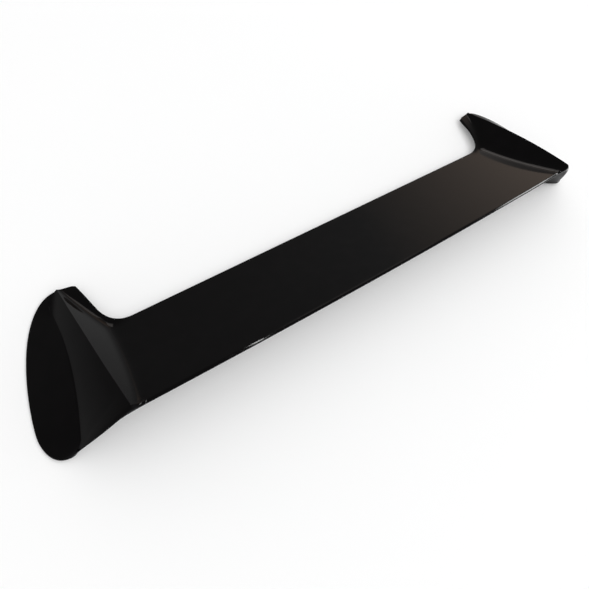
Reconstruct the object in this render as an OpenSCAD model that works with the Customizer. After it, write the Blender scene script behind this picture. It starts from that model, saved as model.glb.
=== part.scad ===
// Rear deck spoiler in one moulded piece, with swept ends that run forward as two legs.
// X is across the car, +Y is towards the cabin, +Z is up. The part stands on Z = 0.
// Sizes called heights are counted up from the rear corners, and the outer rims dip below them.

/* [Overall] */
// Width over the outer rims of the two ends
overall_w = 1240; // [1160:10:1400]
// Distance between the two ridges where they reach the trailing edge
ridge_span = 1000; // [900:10:1040]
// Distance from the rear corners forward to the blunt leg tips
leg_reach = 247; // [225:1:300]

/* [Blade] */
// Distance from the rear corners forward to the front edge of the blade
front_y = 152; // [130:1:165]
// Thickness of the front edge
front_t = 4; // [3:0.5:6]
// Height of the trailing edge at its top
trailing_h = 103; // [80:1:112]
// How far the middle of the trailing edge stands behind its ends
trailing_bow = 5; // [0:0.5:12]
// How far the ends of the trailing edge stand behind the rear corners
trailing_back = 3.5; // [2:0.5:10]
// Hollow of the top between front edge and trailing edge
top_hollow = 3; // [0:0.5:10]
// Thickness of the trailing lip
lip_t = 8; // [5:0.5:11]
// Distance from the trailing edge forward to the foot under it
foot_back = 50; // [35:1:70]
// Hollow of the rear wall under the lip
wall_hollow = 9; // [0:0.5:16]
// Height of the underside between the legs
arch_h = 7; // [5:0.5:9]

/* [Ridge and facet] */
// Height of the ridge where it reaches the trailing edge
ridge_h = 117; // [105:1:130]
// Rise of the ridge line above a straight line, halfway along
ridge_bulge = 7; // [0:0.5:12]
// How far the ridge leans towards the middle at the leg tip
ridge_lean = 6; // [0:0.5:10]
// Distance from the rear corners to where the ridge starts to lean
lean_from = 70; // [40:5:120]
// Width of the stretch where the crest swings forward into the ridge
swing_w = 60; // [45:5:80]
// Steepness of the inner slope below the ridge, in degrees
inner_slope = 46; // [38:1:54]
// Depth of the fillet between the blade and the inner slope
fillet_depth = 10; // [5:1:18]
// Width of the facet beside the widest part of the leaf
facet_w = 55; // [45:1:65]
// Rise of the outer facet above a straight line, halfway across
facet_bulge = 9.5; // [5:0.5:14]
// Height of the facet at the rear corner
corner_h = 10; // [8:0.5:14]

/* [Legs] */
// Distance from the ridge to the inner edge of the leg at its root
root_in = 50; // [42:1:58]
// Reach of the rounded corner between the blade and the leg
root_r = 38; // [28:1:46]
// Width of the blunt leg tip
tip_w = 28; // [20:1:34]
// Radius of the inner corner of the leg tip
tip_r = 4; // [2:0.5:8]
// Height of the blunt leg tip
tip_h = 8; // [6:0.5:12]
// Distance from the ridge to the foot of the facet at the leg tip
tip_facet = 23; // [15:1:30]
// How far the outline swings out beside the leg tip
tip_swing = 64; // [50:1:75]
// Width of the leaf-shaped side at its widest
leaf_w = 64; // [52:1:72]
// How far the outline draws in a third of the way from its widest part to the tip
leaf_draw = 12; // [6:1:20]
// Distance from the leg tip back to the widest part of the end
leaf_l = 202; // [170:1:215]
// Rise of the leaf above a straight line, where it bends most
leaf_crown = 1; // [0:0.5:4]
// Height of the upright rim round the leaf
rim_h = 3; // [2:0.5:4.5]
// How far the outer rim dips below the rear corner and the leg tip
rim_dip = 7; // [4:0.5:12]
// Width of the flat flange under the rim
flange_w = 10; // [6:0.5:14]

/* [Fasteners] */
// Distance from the ridges out to the bosses in the ends
boss_x = 8; // [0:1:15]
// Distance from the rear corners to the rear bosses
boss_rear_y = 62; // [55:1:75]
// Distance from the rear corners to the front bosses
boss_front_y = 168; // [150:1:178]
// Distance from the middle to the inserts under the blade
mid_boss_x = 190; // [120:5:350]
// Distance from the rear corners to the inserts under the blade
mid_boss_y = 92; // [80:1:105]
// Diameter of the bosses
boss_d = 24; // [18:1:30]
// Outer diameter of the threaded inserts
insert_d = 9; // [8:0.5:12]
// Length of the threaded inserts
insert_l = 12; // [9:0.5:14]
// Core diameter of the thread in the inserts
insert_bore = 5; // [4:0.1:6]

/* [Tape] */
// Width of the foam tape strips
tape_w = 10; // [6:0.5:14]
// Thickness of the foam tape
tape_t = 1.2; // [0.8:0.1:1.6]
// Distance from the front edge back to the tape
tape_inset = 5; // [3:0.5:10]
// Length of each of the two front tape strips
tape_l = 360; // [200:5:380]
// Gap between the two strips
tape_gap = 30; // [10:2:80]

/* [Hidden] */

// Half widths and the points that tie the plan together.
half_w = overall_w / 2;
half_ridge = ridge_span / 2;
front_h = arch_h + front_t;
tip_x = half_ridge - ridge_lean;
tip_in_y = leg_reach - 5;
corner_x = half_ridge - root_in;
blade_end = half_ridge - swing_w;
foot_y = foot_back - trailing_back - trailing_bow / 2;
wide_y = leg_reach - leaf_l;
crease_end = 0.95 * leg_reach;
crease_tip = tip_x + tip_facet;
crease_wide = half_ridge + (half_w - 1 - half_ridge) * facet_w / (facet_w + leaf_w);
crease_grow = (crease_wide - crease_tip) / pow(1 - wide_y / crease_end, 1.9);
corner_in = crease_x(0) + 8;
rear_run = 0.1 * leg_reach;
turn_run = 0.24 * leg_reach;
facet_drop = ridge_z(0) - corner_h;

// Whole part is moved so that its middle lies over the origin.
rear_y = -trailing_back - trailing_bow;
centre_y = (leg_reach + rear_y) / 2;

// Stations from the middle to a leg tip: blade, its end, rear edge, rear corner, leg.
n_blade = 9;
n_end = 17;
n_rear = 26;
n_turn = 31;
n_tip = 45;
// Steps round one station: top, facet, lip, wall or leaf, underside, front edge.
n_top = 18;
n_facet = 6;
n_lip = 6;
n_wall = 8;
n_under = 4;
ring_n = n_top + n_facet + n_lip + n_wall + n_under + 2;

function mixed(a, b, t) = a + (b - a) * t;
function clamped(t) = min(max(t, 0), 1);
function eased(t) = let (c = clamped(t)) c * c * (3 - 2 * c);
function along(i, lo, hi) = clamped((i - lo) / (hi - lo));
function unit(v) = v / max(norm(v), 0.001);
function smax(a, b, k) = let (h = max(k - abs(a - b), 0) / k) max(a, b) + h * h * k / 4;
function smin(a, b, k) = -smax(-a, -b, k);
function curve2(p, q, r, t) = (1 - t) * (1 - t) * p + 2 * t * (1 - t) * q + t * t * r;
function curve3(p, q, r, s, t) =
    mixed(curve2(p, q, r, t), curve2(q, r, s, t), t);

// Lines in plan.
function trail_y(x) = -trailing_back - trailing_bow * (1 - pow(min(x / half_ridge, 1), 2));
function ridge_x(y) =
    half_ridge - ridge_lean * pow(clamped((y - lean_from) / (leg_reach - lean_from)), 1.3);
function crease_x(y) = crease_tip + crease_grow * pow(max(0, 1 - y / crease_end), 1.9);
function inner_x(y) = mixed(corner_x, tip_x - tip_w, (y - front_y) / (tip_in_y - front_y));

// Heights of the top.
function ridge_z(y) =
    let (t = (max(y, 2) - 2) / (leg_reach - 2))
    mixed(ridge_h, tip_h, t) + 4 * ridge_bulge * t * (1 - t);
function ramp_z(x, y) =
    let (t = (front_y - y) / (front_y - trail_y(x) - lip_t / 2))
    mixed(front_h, trailing_h, t) - 4 * top_hollow * t * (1 - t);
function leg_z(y) =
    let (t = (y - front_y) / (tip_in_y - front_y))
    mixed(front_h, tip_h - 2, t) + 16 * t * (1 - t);
function base_z(x, y) = y < front_y ? ramp_z(x, y) : leg_z(y);
function slope_z(x, y) = ridge_z(y) - tan(inner_slope) * (ridge_x(y) - x);
function top_z(x, y) =
    let (k = mixed(fillet_depth, 4, eased((y - front_y) / (leg_reach - front_y))))
    smax(base_z(x, y), slope_z(x, y), k);
function facet_z(x, y) =
    let (u = (x - ridge_x(y)) / (corner_in - half_ridge))
    smax(ridge_z(y) - facet_drop * u + 4 * facet_bulge * u * (1 - u), rim_h + 1, 6);

// Plan points of station i: inner or front edge, ridge, rear edge or crease, ground line.
function edge_xy(i) =
    i <= n_blade ? [mixed(0, corner_x - root_r - 12, along(i, 0, n_blade)), front_y] :
    i <= n_end ? [corner_x - root_r - 12 * (1 - along(i, n_blade, n_end)), front_y] :
    i <= n_rear ? curve2([corner_x - root_r, front_y], [corner_x, front_y],
                         [inner_x(front_y + root_r), front_y + root_r], along(i, n_end, n_rear)) :
    let (y = mixed(front_y + root_r, tip_in_y, along(i, n_rear, n_tip)),
         u = clamped((y - tip_in_y + tip_r) / tip_r))
    [inner_x(y) + tip_r * (1 - sqrt(1 - u * u)), y];
function crest_xy(i) =
    i <= n_blade ? let (x = mixed(0, blade_end, along(i, 0, n_blade))) [x, trail_y(x) + 14] :
    i <= n_end ? let (t = along(i, n_blade, n_end), x = mixed(blade_end, half_ridge, t))
                 [x, mixed(trail_y(x) + 14, 2, t * t)] :
    let (y = i <= n_rear ? mixed(2, rear_run, along(i, n_end, n_rear)) :
             i <= n_turn ? mixed(rear_run, turn_run, along(i, n_rear, n_turn)) :
             mixed(turn_run, leg_reach - 1, along(i, n_turn, n_tip)))
    [ridge_x(y), y];
function back_xy(i) =
    i <= n_end ? let (x = crest_xy(i)[0]) [x, trail_y(x) + lip_t / 2] :
    i <= n_rear ? let (t = along(i, n_end, n_rear))
                  [mixed(half_ridge, corner_in, t),
                   mixed(lip_t / 2 - trailing_back, 0.5, pow(t, 5)) - 1.6 * sin(180 * t)] :
    i <= n_turn ? let (t = along(i, n_rear, n_turn), y = mixed(0.5, 12, t))
                  [crease_x(y) + 8 * (1 - t) * (1 - t), y] :
    let (t = along(i, n_turn, n_tip), y = mixed(12, leg_reach - 5.5, 1 - pow(1 - t, 1.3)))
    [crease_x(y) - 9 * eased((y - 0.91 * leg_reach) / (0.07 * leg_reach)), y];
function ground_xy(i) =
    i <= n_blade ? [crest_xy(i)[0], foot_y] :
    i <= n_rear ? let (t = 0.28 * along(i, n_blade, n_end) + 0.72 * along(i, n_end, n_rear))
                  curve3([blade_end, foot_y], [half_ridge + 20, foot_y - 4],
                         [corner_in - 23, 8], [corner_in + 5, -2], t) :
    i <= n_turn ? let (x = corner_in + 5)
                  curve3([x, -2], [mixed(x, half_w, 0.7), -2],
                         [half_w, mixed(wide_y, -2, 0.65)], [half_w, wide_y],
                         along(i, n_rear, n_turn)) :
    curve3([half_w, wide_y], [half_w - leaf_draw, wide_y + 0.36 * leaf_l],
           [tip_x + tip_swing, leg_reach + 6], [tip_x, leg_reach], along(i, n_turn, n_tip));

// Heights of the underside at the ground line and at the inner or front edge.
function ground_z(i) =
    i <= n_rear ? arch_h * (1 - eased((ground_xy(i)[0] - half_ridge + 30) / 80)) :
    -rim_dip * eased(along(i, n_rear, n_turn)) * (1 - eased(along(i, n_tip - 4, n_tip)));
function edge_bottom_z(i) =
    arch_h * (1 - eased((edge_xy(i)[1] - 0.8 * leg_reach) / (0.2 * leg_reach - 5)));

function xyz(p, z) = [p[0], p[1], z];

// One closed ring of points, starting at the top of the inner or front edge.
function ring(i) =
    let (a = edge_xy(i), b = crest_xy(i), r = back_xy(i), e = ground_xy(i),
         rear = along(i, n_end, n_rear),
         turn = eased(along(i, n_rear - 3, n_turn)),
         out = i <= n_end ? [0, -1] :
               i <= n_rear ? unit(mixed([0, -1], unit(ground_xy(n_rear) - back_xy(n_rear)),
                                        pow(rear, 3))) :
               unit(e - r),
         r_z = i <= n_end ? top_z(r[0], r[1]) : facet_z(r[0], r[1]),
         lip = mixed(lip_t, 1.5, eased(along(i, n_rear - 4, n_rear))),
         d_z = mixed(smin(trailing_h + 1, r_z, 4) - lip, r_z - 1, turn),
         reach = i <= n_rear ? 2.2 * rear * rear : mixed(3, 1.5, along(i, n_turn, n_tip)),
         roll = (0.5 * lip_t + 0.15 * max(r_z - trailing_h, 0)) * (1 - rear * rear),
         p_r = xyz(r, r_z),
         p_d = xyz(r + reach * out, d_z),
         p_e = xyz(e, ground_z(i)),
         p_g = p_e + xyz(flange_w * unit(a - e), 0),
         p_f = p_e + [0, 0, mixed(1.5, mixed(rim_h, 1.5, eased(along(i, n_tip - 4, n_tip))), turn)],
         hollow = wall_hollow * (1 - rear),
         bend = mixed((p_d + p_f) / 2 + 1.4 * hollow * [0, 1, 1],
                      mixed(p_d, p_f, 0.5) + [0, 0, leaf_crown], turn),
         a_top = xyz(a, top_z(a[0], a[1])),
         a_low = xyz(a, edge_bottom_z(i)),
         a_out = unit(a - b))
    [for (j = [0 : n_top]) let (p = mixed(a, b, j / n_top)) xyz(p, top_z(p[0], p[1])),
     for (j = [1 : n_facet])
         let (p = mixed(b, r, j / n_facet))
         xyz(p, i <= n_end ? top_z(p[0], p[1]) : facet_z(p[0], p[1])),
     for (j = [1 : n_lip])
         let (t = 180 * j / n_lip)
         mixed(p_r, p_d, (1 - cos(t)) / 2) + roll * sin(t) * xyz(out, 0),
     for (j = [1 : n_wall - 1]) curve2(p_d, bend, p_f, j / (n_wall - 1)),
     p_e,
     for (j = [0 : n_under - 1]) mixed(p_g, a_low, j / (n_under - 1)),
     (a_top + a_low) / 2 + 0.8 * xyz(a_out, 0)];

function mirrored(p) = [-p[0], p[1], p[2]];
function mean(list) = list * [for (p = list) 1 / len(list)];
function middle(list) = [for (c = [0 : 2]) mean([for (p = list) p[c]])];

half_rings = [for (i = [0 : n_tip]) ring(i)];
rings = [for (s = [-n_tip : n_tip]) [for (p = half_rings[abs(s)]) s < 0 ? mirrored(p) : p]];
ring_count = 2 * n_tip + 1;

module spoiler_shell() {
    skin = [for (r = rings) for (p = r) p];
    caps = [middle(rings[0]), middle(rings[ring_count - 1])];
    last = (ring_count - 1) * ring_n;
    cap = ring_count * ring_n;
    sides = [for (s = [0 : ring_count - 2]) for (j = [0 : ring_n - 1])
        let (a = s * ring_n + j, b = s * ring_n + (j + 1) % ring_n)
        for (f = s < n_tip ? [[a, b + ring_n, b], [a, a + ring_n, b + ring_n]]
                           : [[a, a + ring_n, b], [b, a + ring_n, b + ring_n]]) f];
    ends = [for (j = [0 : ring_n - 1])
        let (n = (j + 1) % ring_n)
        for (f = [[cap, j, n], [cap + 1, last + n, last + j]]) f];
    polyhedron(points = concat(skin, caps), faces = concat(sides, ends), convexity = 8);
}

boss_spots = [for (side = [-1, 1]) for (y = [boss_rear_y, boss_front_y])
    [side * (half_ridge + boss_x), y]];
mid_spots = [for (side = [-1, 1]) [side * mid_boss_x, mid_boss_y]];

// One-piece moulding with solid bosses and blind pockets for the inserts.
module spoiler_body() {
    color("#17151a")
    translate([0, -centre_y, rim_dip])
    difference() {
        union() {
            spoiler_shell();
            for (p = boss_spots)
                translate(xyz(p, -rim_dip)) cylinder(h = rim_dip + insert_l, d = boss_d, $fn = 64);
        }
        for (p = boss_spots)
            translate(xyz(p, -rim_dip - 1)) cylinder(h = insert_l + 1, d = insert_d, $fn = 48);
        for (p = mid_spots)
            translate(xyz(p, arch_h - 1)) cylinder(h = insert_l + 1, d = insert_d, $fn = 48);
    }
}

module insert_ring() {
    difference() {
        cylinder(h = insert_l, d = insert_d, $fn = 48);
        translate([0, 0, -1]) cylinder(h = insert_l + 2, d = insert_bore, $fn = 48);
    }
}

// Threaded inserts: two in each end, two under the blade, all opening downwards.
module threaded_inserts() {
    color("#b9a15a")
    translate([0, -centre_y, rim_dip]) {
        for (p = boss_spots) translate(xyz(p, -rim_dip)) insert_ring();
        for (p = mid_spots) translate(xyz(p, arch_h)) insert_ring();
    }
}

// Foam tape strips on the flat underside behind the front edge.
module front_tape() {
    color("#3a3a3c")
    translate([0, front_y - tape_inset - tape_w - centre_y, rim_dip + arch_h - tape_t])
    for (side = [-1, 1])
        translate([side * (tape_l + tape_gap) / 2 - tape_l / 2, 0, 0]) cube([tape_l, tape_w, tape_t]);
}

spoiler_body();
threaded_inserts();
front_tape();
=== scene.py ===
import logging
import math
from dataclasses import dataclass
from enum import Enum
from typing import Callable

import bmesh
import bpy
from mathutils import Matrix, Vector


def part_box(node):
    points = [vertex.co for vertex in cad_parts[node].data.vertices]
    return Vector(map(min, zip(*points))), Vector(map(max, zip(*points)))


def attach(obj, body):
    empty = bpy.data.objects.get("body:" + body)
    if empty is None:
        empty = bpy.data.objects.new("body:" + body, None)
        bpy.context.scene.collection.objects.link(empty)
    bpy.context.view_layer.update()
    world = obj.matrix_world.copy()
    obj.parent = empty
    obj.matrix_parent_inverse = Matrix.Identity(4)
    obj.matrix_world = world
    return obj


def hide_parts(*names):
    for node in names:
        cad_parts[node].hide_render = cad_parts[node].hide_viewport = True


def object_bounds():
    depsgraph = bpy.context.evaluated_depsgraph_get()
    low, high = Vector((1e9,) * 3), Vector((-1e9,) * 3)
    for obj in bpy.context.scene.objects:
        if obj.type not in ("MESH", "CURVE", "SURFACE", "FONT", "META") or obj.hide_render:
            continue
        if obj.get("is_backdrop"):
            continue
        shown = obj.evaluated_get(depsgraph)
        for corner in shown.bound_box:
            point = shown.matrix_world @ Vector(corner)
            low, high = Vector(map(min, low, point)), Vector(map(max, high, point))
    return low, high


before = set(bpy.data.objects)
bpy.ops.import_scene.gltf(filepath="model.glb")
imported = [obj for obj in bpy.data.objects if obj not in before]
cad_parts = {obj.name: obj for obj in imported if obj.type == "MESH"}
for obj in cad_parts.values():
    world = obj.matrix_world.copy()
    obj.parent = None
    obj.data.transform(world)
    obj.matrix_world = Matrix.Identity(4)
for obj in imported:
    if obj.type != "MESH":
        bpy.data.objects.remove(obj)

log = logging.getLogger("deck_spoiler")

Triple = tuple[float, float, float]
Paint = tuple[float, float, float, float]

WHITE: Paint = (1.0, 1.0, 1.0, 1.0)


class Socket(Enum):
    """Shader sockets that carry one plain number over the whole surface."""

    METAL = "Metallic"
    IOR = "IOR"


class Graph:
    """Builds the node graph of one material or of the world."""

    def __init__(self, owner: bpy.types.ID) -> None:
        """Clears the owner's nodes.

        Args:
            owner: The material or world that gets the graph.
        """
        owner.use_nodes = True
        self.tree = owner.node_tree
        self.tree.nodes.clear()

    def node(self, kind: str, inputs: dict[str, object] | None = None,
             **settings: object) -> bpy.types.Node:
        """Adds a node and fills its sockets.

        Args:
            kind: The node's type name.
            inputs: Socket name or number to value, or to the socket that feeds it.
            settings: Attributes of the node.

        Returns:
            The new node.
        """
        made = self.tree.nodes.new(kind)
        for key, value in settings.items():
            setattr(made, key, value)
        for key, value in (inputs or {}).items():
            socket = made.inputs[key]
            if isinstance(value, bpy.types.NodeSocket):
                self.tree.links.new(value, socket)
            else:
                socket.default_value = value
        return made

    def maths(self, operation: str, a: object, b: object = 0.0) -> bpy.types.NodeSocket:
        """Adds a Math node and returns its result."""
        return self.node("ShaderNodeMath", {0: a, 1: b}, operation=operation).outputs[0]

    def ramp(self, value: object, low: float, high: float, a: float, b: float) -> bpy.types.NodeSocket:
        """Adds a smooth Map Range node from low..high to a..b and returns its result."""
        levels = {0: value, 1: low, 2: high, 3: a, 4: b}
        return self.node("ShaderNodeMapRange", levels, interpolation_type="SMOOTHSTEP").outputs[0]

    def blend(self, factor: object, a: object, b: object) -> bpy.types.NodeSocket:
        """Adds a colour Mix node and returns its colour."""
        made = self.node("ShaderNodeMix", {0: factor, 6: a, 7: b}, data_type="RGBA")
        return made.outputs[2]

    def noise(self, where: object, scale: float, detail: float = 3.0) -> bpy.types.NodeSocket:
        """Adds a Noise Texture and returns its value."""
        made = self.node("ShaderNodeTexNoise", {"Vector": where, "Scale": scale, "Detail": detail})
        return made.outputs[0]

    def place(self, stretch: Triple = (1.0, 1.0, 1.0)) -> bpy.types.NodeSocket:
        """Returns Object coordinates, stretched along the axes."""
        where = self.node("ShaderNodeTexCoord").outputs["Object"]
        return self.node("ShaderNodeMapping", {"Vector": where, "Scale": stretch}).outputs[0]


@dataclass(frozen=True)
class GlossBlack:
    """Glossy black paint over moulded plastic, with the fine waviness of sprayed paint."""

    colour: Paint = (0.0009, 0.0007, 0.0008, 1.0)
    dust_colour: Paint = (0.012, 0.011, 0.010, 1.0)
    paler: float = 1.5
    dust_share: float = 0.35
    mist_scale: float = 38.0
    fleck_scale: float = 2600.0
    wave_scale: float = 9.0
    peel_scale: float = 900.0
    peel_height: float = 0.000004
    wave_height: float = 0.00002
    low_gloss: float = 0.10
    high_gloss: float = 0.045
    index: float = 1.12

    def material(self) -> bpy.types.Material:
        """Builds the paint.

        Returns:
            The material.
        """
        made = bpy.data.materials.new("gloss_black_paint")
        g = Graph(made)
        where = g.place()
        mist = g.noise(where, self.mist_scale, 5.0)
        flecks = g.node("ShaderNodeTexVoronoi", {"Vector": where, "Scale": self.fleck_scale})
        fleck = flecks.outputs["Distance"]
        tone = g.ramp(mist, 0.35, 0.7, 0.0, 1.0)
        dusty = g.ramp(mist, 0.55, 0.75, 0.0, self.dust_share)
        dust = g.maths("MULTIPLY", g.ramp(fleck, 0.02, 0.10, 1.0, 0.0), dusty)
        base = g.blend(tone, self.colour, tuple(c * self.paler for c in self.colour[:3]) + (1.0,))
        colour = g.blend(dust, base, self.dust_colour)
        rough = g.ramp(mist, 0.3, 0.75, self.high_gloss, self.low_gloss)
        peel = g.noise(where, self.peel_scale, 1.0)
        wave = g.noise(g.place((1.0, 2.2, 1.6)), self.wave_scale, 1.0)
        fine = g.maths("MULTIPLY", peel, self.peel_height)
        height = g.maths("ADD", fine, g.maths("MULTIPLY", wave, self.wave_height))
        bump = g.node("ShaderNodeBump", {"Height": height, "Strength": 1.0, "Distance": 1.0}).outputs[0]
        sockets = {"Base Color": colour, "Roughness": rough, "Normal": bump}
        shader = g.node("ShaderNodeBsdfPrincipled", sockets)
        shader.inputs[Socket.IOR.value].default_value = self.index
        g.node("ShaderNodeOutputMaterial", {"Surface": shader.outputs[0]})
        return made


@dataclass(frozen=True)
class InsertBrass:
    """Satin brass of the threaded inserts, with thread marks down the bore."""

    pitch: float = 0.001
    shade: Paint = (0.50, 0.35, 0.12, 1.0)
    shine: Paint = (0.70, 0.53, 0.22, 1.0)
    grain_scale: float = 600.0

    def material(self) -> bpy.types.Material:
        """Builds the brass.

        Returns:
            The material.
        """
        made = bpy.data.materials.new("insert_brass")
        g = Graph(made)
        where = g.place()
        height = g.node("ShaderNodeSeparateXYZ", {0: where}).outputs[2]
        turn = g.maths("PINGPONG", height, self.pitch / 2)
        grain = g.noise(g.place((1.0, 1.0, 6.0)), self.grain_scale, 2.0)
        colour = g.blend(grain, self.shade, self.shine)
        bump = g.node("ShaderNodeBump", {"Height": turn, "Strength": 0.6, "Distance": 1.0}).outputs[0]
        rough = g.ramp(grain, 0.3, 0.7, 0.25, 0.42)
        sockets = {"Base Color": colour, "Roughness": rough, "Normal": bump}
        shader = g.node("ShaderNodeBsdfPrincipled", sockets)
        shader.inputs[Socket.METAL.value].default_value = 1.0
        g.node("ShaderNodeOutputMaterial", {"Surface": shader.outputs[0]})
        return made


@dataclass(frozen=True)
class FoamTape:
    """Dark closed-cell foam of the tape strips."""

    shade: Paint = (0.030, 0.030, 0.033, 1.0)
    shine: Paint = (0.060, 0.060, 0.064, 1.0)
    mottle_scale: float = 120.0
    cell_scale: float = 1400.0
    cell_depth: float = 0.0002
    matte: float = 0.9

    def material(self) -> bpy.types.Material:
        """Builds the foam.

        Returns:
            The material.
        """
        made = bpy.data.materials.new("foam_tape")
        g = Graph(made)
        where = g.place()
        cells = g.node("ShaderNodeTexVoronoi", {"Vector": where, "Scale": self.cell_scale}).outputs["Distance"]
        colour = g.blend(g.noise(where, self.mottle_scale), self.shade, self.shine)
        height = g.maths("MULTIPLY", cells, self.cell_depth)
        bump = g.node("ShaderNodeBump", {"Height": height, "Strength": 0.8, "Distance": 1.0}).outputs[0]
        sockets = {"Base Color": colour, "Roughness": self.matte, "Normal": bump}
        shader = g.node("ShaderNodeBsdfPrincipled", sockets)
        g.node("ShaderNodeOutputMaterial", {"Surface": shader.outputs[0]})
        return made


@dataclass(frozen=True)
class PaleFloor:
    """Plain white floor that keeps the shadow and reads white to the camera."""

    colour: Paint = (0.82, 0.82, 0.82, 1.0)
    mottle: float = 0.99
    mottle_scale: float = 3.0
    lift: float = 0.145

    def material(self) -> bpy.types.Material:
        """Builds the floor's material.

        Returns:
            The material.
        """
        made = bpy.data.materials.new("pale_floor")
        g = Graph(made)
        rays = g.node("ShaderNodeLightPath").outputs
        mirrored = g.maths("MAXIMUM", rays["Is Glossy Ray"], rays["Is Transmission Ray"])
        seen = g.maths("MAXIMUM", rays["Is Camera Ray"], mirrored)
        darker = tuple(c * self.mottle for c in self.colour[:3]) + (1.0,)
        tone = g.blend(g.noise(g.place(), self.mottle_scale), self.colour, darker)
        matte = g.node("ShaderNodeBsdfDiffuse", {"Color": tone}).outputs[0]
        strength = g.maths("MULTIPLY", seen, self.lift)
        glow = g.node("ShaderNodeEmission", {"Color": WHITE, "Strength": strength}).outputs[0]
        both = g.node("ShaderNodeAddShader", {0: matte, 1: glow}).outputs[0]
        g.node("ShaderNodeOutputMaterial", {"Surface": both})
        return made


@dataclass
class SpoilerShell:
    """The painted moulding: a refined copy of the solid with soft ridges and smooth sweeps."""

    node: str = "spoiler_body"
    slot: str = "gloss_black"
    weld: float = 0.00002
    fold_angle: float = math.radians(28.0)
    fold_crease: float = 0.75
    lip_angle: float = math.radians(55.0)
    lip_depth: float = 0.016
    sharp_angle: float = math.radians(80.0)
    levels: int = 2
    quad_angle: float = math.radians(50.0)
    quad_skew: float = math.radians(120.0)
    smooth_angle: float = math.radians(35.0)

    def build(self, finish: GlossBlack) -> bpy.types.Object:
        """Builds the shell and dresses it.

        Args:
            finish: The paint.

        Returns:
            The finished piece, riding on the root body.
        """
        shell = self.copy_of_solid()
        self.weld_and_square(shell)
        self.mark_folds(shell)
        self.refine(shell)
        shell.data.materials.clear()
        shell.data.materials.append(finish.material())
        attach(shell, "root")
        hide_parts(self.node)
        return shell

    def copy_of_solid(self) -> bpy.types.Object:
        """Copies the solid's mesh into a new object of its own."""
        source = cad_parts[self.node]
        shell = bpy.data.objects.new("painted_shell", source.data.copy())
        bpy.context.scene.collection.objects.link(shell)
        return shell

    def weld_and_square(self, shell: bpy.types.Object) -> None:
        """Merges the loose triangles and joins them to quads.

        Args:
            shell: The copied mesh.
        """
        only(shell)
        bpy.ops.object.mode_set(mode="EDIT")
        bpy.ops.mesh.select_all(action="SELECT")
        bpy.ops.mesh.remove_doubles(threshold=self.weld)
        bpy.ops.mesh.customdata_custom_splitnormals_clear()
        bpy.ops.mesh.tris_convert_to_quads(face_threshold=self.quad_angle, shape_threshold=self.quad_skew)
        bpy.ops.mesh.select_all(action="DESELECT")
        bpy.ops.object.mode_set(mode="OBJECT")

    def mark_folds(self, shell: bpy.types.Object) -> None:
        """Creases the folds: softly along ridges and lips, fully round bosses and pockets.

        Args:
            shell: The welded mesh.
        """
        mesh = shell.data
        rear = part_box(self.node)[0][1]
        work = bmesh.new()
        work.from_mesh(mesh)
        crease = work.edges.layers.float.new("crease_edge")
        for edge in work.edges:
            if len(edge.link_faces) != 2:
                continue
            turn = edge.calc_face_angle(0.0)
            in_lip = min(v.co.y for v in edge.verts) < rear + self.lip_depth
            if turn > self.sharp_angle and not in_lip:
                edge[crease] = 1.0
            elif edge.is_convex and turn > (self.lip_angle if in_lip else self.fold_angle):
                edge[crease] = self.fold_crease
        work.to_mesh(mesh)
        work.free()

    def refine(self, shell: bpy.types.Object) -> None:
        """Subdivides the shell and shades it smooth."""
        only(shell)
        smooth = shell.modifiers.new("refine", "SUBSURF")
        smooth.levels = smooth.render_levels = self.levels
        bpy.ops.object.modifier_apply(modifier=smooth.name)
        bpy.ops.object.shade_smooth_by_angle(angle=self.smooth_angle)


@dataclass
class HiddenFittings:
    """The inserts and the tape under the part, which keep their solids."""

    inserts: str = "threaded_inserts"
    tape: str = "front_tape"

    def dress(self) -> None:
        """Gives both nodes their materials."""
        for name, material in ((self.inserts, InsertBrass().material()), (self.tape, FoamTape().material())):
            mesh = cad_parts[name].data
            mesh.materials.clear()
            mesh.materials.append(material)
            log.info("dressed %s", name)


class Job(Enum):
    """What a lamp is there for."""

    SHADOW = "lights the part and the floor, and is hidden from the gloss"
    GLOSS = "is mirrored in the gloss, and lights nothing else"


@dataclass(frozen=True)
class Lamp:
    """One rectangular panel. It points at its target, and its height runs as near along as it can."""

    name: str
    place: Triple
    target: Triple
    size: tuple[float, float]
    power: float
    job: Job = Job.GLOSS
    along: Triple = (0.0, 0.0, 1.0)
    colour: Triple = (1.0, 1.0, 1.0)
    spread: float | None = None

    def hang(self) -> bpy.types.Object:
        """Hangs the panel.

        Returns:
            The lamp.
        """
        data = bpy.data.lights.new(self.name, "AREA")
        data.shape = "RECTANGLE"
        data.size, data.size_y = self.size
        data.energy = self.power
        data.color = self.colour
        if self.spread is not None:
            data.spread = self.spread
        lamp = bpy.data.objects.new(self.name, data)
        bpy.context.scene.collection.objects.link(lamp)
        away = (Vector(self.place) - Vector(self.target)).normalized()
        tall = (Vector(self.along) - away * away.dot(Vector(self.along))).normalized()
        turn = Matrix((tall.cross(away), tall, away)).transposed()
        lamp.matrix_world = Matrix.Translation(self.place) @ turn.to_4x4()
        lamp.visible_glossy = self.job is Job.GLOSS
        lamp.visible_diffuse = self.job is Job.SHADOW
        return lamp


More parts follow.
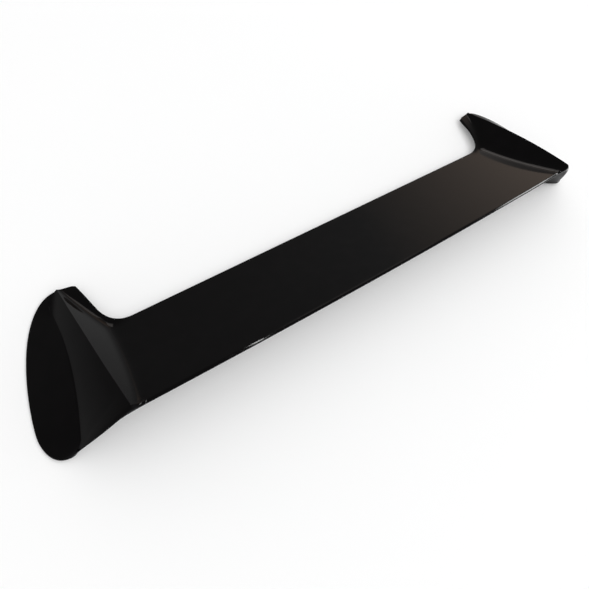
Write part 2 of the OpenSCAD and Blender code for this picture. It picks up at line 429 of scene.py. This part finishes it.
@dataclass(frozen=True)
class StripRow:
    """A row of narrow panels round the x axis, whose mirror images join to one line along the trailing lip.

    The lip is the place that shows the line, side is the share of x in the direction to the row, and the angles
    are each panel's turn about the x axis from the front, in degrees. Each covers one step. The strength is the
    panels' radiance.
    """

    name: str
    lip: Triple
    side: float
    width: float
    angles: tuple[float, ...]
    step: float
    strength: float
    reach: float = 4.0

    def lamps(self) -> list[Lamp]:
        """Works out the panels.

        Returns:
            The lamps in the order of their angles.
        """
        round_x = math.sqrt(1.0 - self.side * self.side)
        tall = 2.0 * self.reach * math.tan(math.radians(self.step) * round_x / 2.0)
        power = math.pi * self.width * tall * self.strength
        row = []
        for number, angle in enumerate(self.angles):
            c, s = math.cos(math.radians(angle)), math.sin(math.radians(angle))
            place = tuple(Vector(self.lip) + self.reach * Vector((self.side, round_x * c, round_x * s)))
            size = (self.width, tall)
            row.append(Lamp(f"{self.name}_{number}", place, self.lip, size, power, along=(0.0, -s, c)))
        return row


@dataclass
class Studio:
    """Pale floor and world, the lamps and the camera."""

    floor_size: float = 9.0
    floor_drop: float = 0.0005
    pale: float = 0.92
    overhead: Lamp = Lamp("overhead", (2.3, -1.6, 5.3), (0.0, 0.0, 0.0), (3.0, 3.0), 60.0,
                          job=Job.SHADOW, along=(0.0, 1.0, 0.0))
    side_box: Lamp = Lamp("side_box", (4.05, 2.1, 1.0), (0.45, 0.0, 0.1), (5.0, 5.0), 10.8,
                          colour=(1.0, 0.70, 0.50), spread=math.radians(46.0))
    window_box: Lamp = Lamp("window_box", (2.18, 3.01, 2.16), (0.5, 0.05, 0.08), (1.5, 1.7), 52.0,
                            colour=(1.0, 0.93, 0.89))
    long_line: StripRow = StripRow("long_line", (0.35, -0.12, 0.10), side=0.766, width=0.42,
                                   angles=(90.0, 119.0, 148.0), step=29.0, strength=50.0)
    dash: StripRow = StripRow("dash", (-0.31, -0.12, 0.10), side=0.36, width=0.09,
                              angles=(80.0, 100.0, 120.0, 140.0), step=20.0, strength=150.0)
    place: Triple = (-0.6227, -0.28465, 0.9474)
    right: Triple = (0.7908, -0.5473, 0.2741)
    up: Triple = (0.4199, 0.8109, 0.4076)
    back: Triple = (-0.4453, -0.2072, 0.8711)
    sensor: float = 36.0
    focal_px: float = 600.0
    frame_px: float = 589.0
    clip: tuple[float, float] = (0.05, 50.0)

    def build(self) -> None:
        """Builds the whole surround."""
        self.floor()
        self.surround()
        self.lamps()
        self.camera()

    def floor(self) -> None:
        """Lays the floor just under the part."""
        bpy.ops.mesh.primitive_plane_add(size=self.floor_size, location=(0.0, 0.0, -self.floor_drop))
        sheet = bpy.context.object
        sheet.name = "floor"
        bpy.ops.object.transform_apply(location=True, rotation=False, scale=False)
        sheet.data.materials.append(PaleFloor().material())
        sheet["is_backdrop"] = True

    def surround(self) -> None:
        """Sets the plain pale world that lights the part and shows behind it."""
        world = bpy.data.worlds.new("studio")
        bpy.context.scene.world = world
        g = Graph(world)
        grey = (self.pale, self.pale, self.pale, 1.0)
        room = g.node("ShaderNodeBackground", {"Color": grey, "Strength": 1.0}).outputs[0]
        g.node("ShaderNodeOutputWorld", {"Surface": room})

    def lamps(self) -> None:
        """Hangs the overhead box that casts the shadow, and the lamps that only the gloss shows."""
        strips = self.long_line.lamps() + self.dash.lamps()
        for lamp in (self.overhead, self.side_box, self.window_box, *strips):
            lamp.hang()

    def camera(self) -> None:
        """Sets the camera where the photograph was taken."""
        data = bpy.data.cameras.new("camera")
        data.lens = self.sensor * self.focal_px / self.frame_px
        data.sensor_width = self.sensor
        data.clip_start, data.clip_end = self.clip
        camera = bpy.data.objects.new("camera", data)
        bpy.context.scene.collection.objects.link(camera)
        turn = Matrix((self.right, self.up, self.back)).transposed().normalized()
        camera.matrix_world = Matrix.Translation(self.place) @ turn.to_4x4()
        bpy.context.scene.camera = camera


def only(piece: bpy.types.Object) -> None:
    """Selects one object alone and makes it active.

    Args:
        piece: The object to select.
    """
    bpy.ops.object.select_all(action="DESELECT")
    piece.select_set(True)
    bpy.context.view_layer.objects.active = piece


def report(name: str, make: Callable[[], bpy.types.Object]) -> bpy.types.Object:
    """Builds one piece and logs its size.

    Args:
        name: What the piece is.
        make: Builds it.

    Returns:
        The piece.
    """
    piece = make()
    log.info("%s: %d faces, %.3f x %.3f x %.3f m", name, len(piece.data.polygons), *piece.dimensions)
    return piece


def corners() -> list[list[float]]:
    """Returns the shown object's lowest and highest corner as plain lists."""
    bpy.context.view_layer.update()
    return [list(corner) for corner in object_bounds()]


def main() -> None:
    """Builds the pieces in order."""
    logging.basicConfig(level=logging.INFO, format="%(name)s %(message)s")
    scene = bpy.context.scene
    scene.view_settings.view_transform = "Standard"
    solid_box = corners()
    Studio().build()
    report("shell", lambda: SpoilerShell().build(GlossBlack()))
    HiddenFittings().dress()
    {"cad": solid_box, "visual": corners()}


if __name__ == "__main__":
    main()
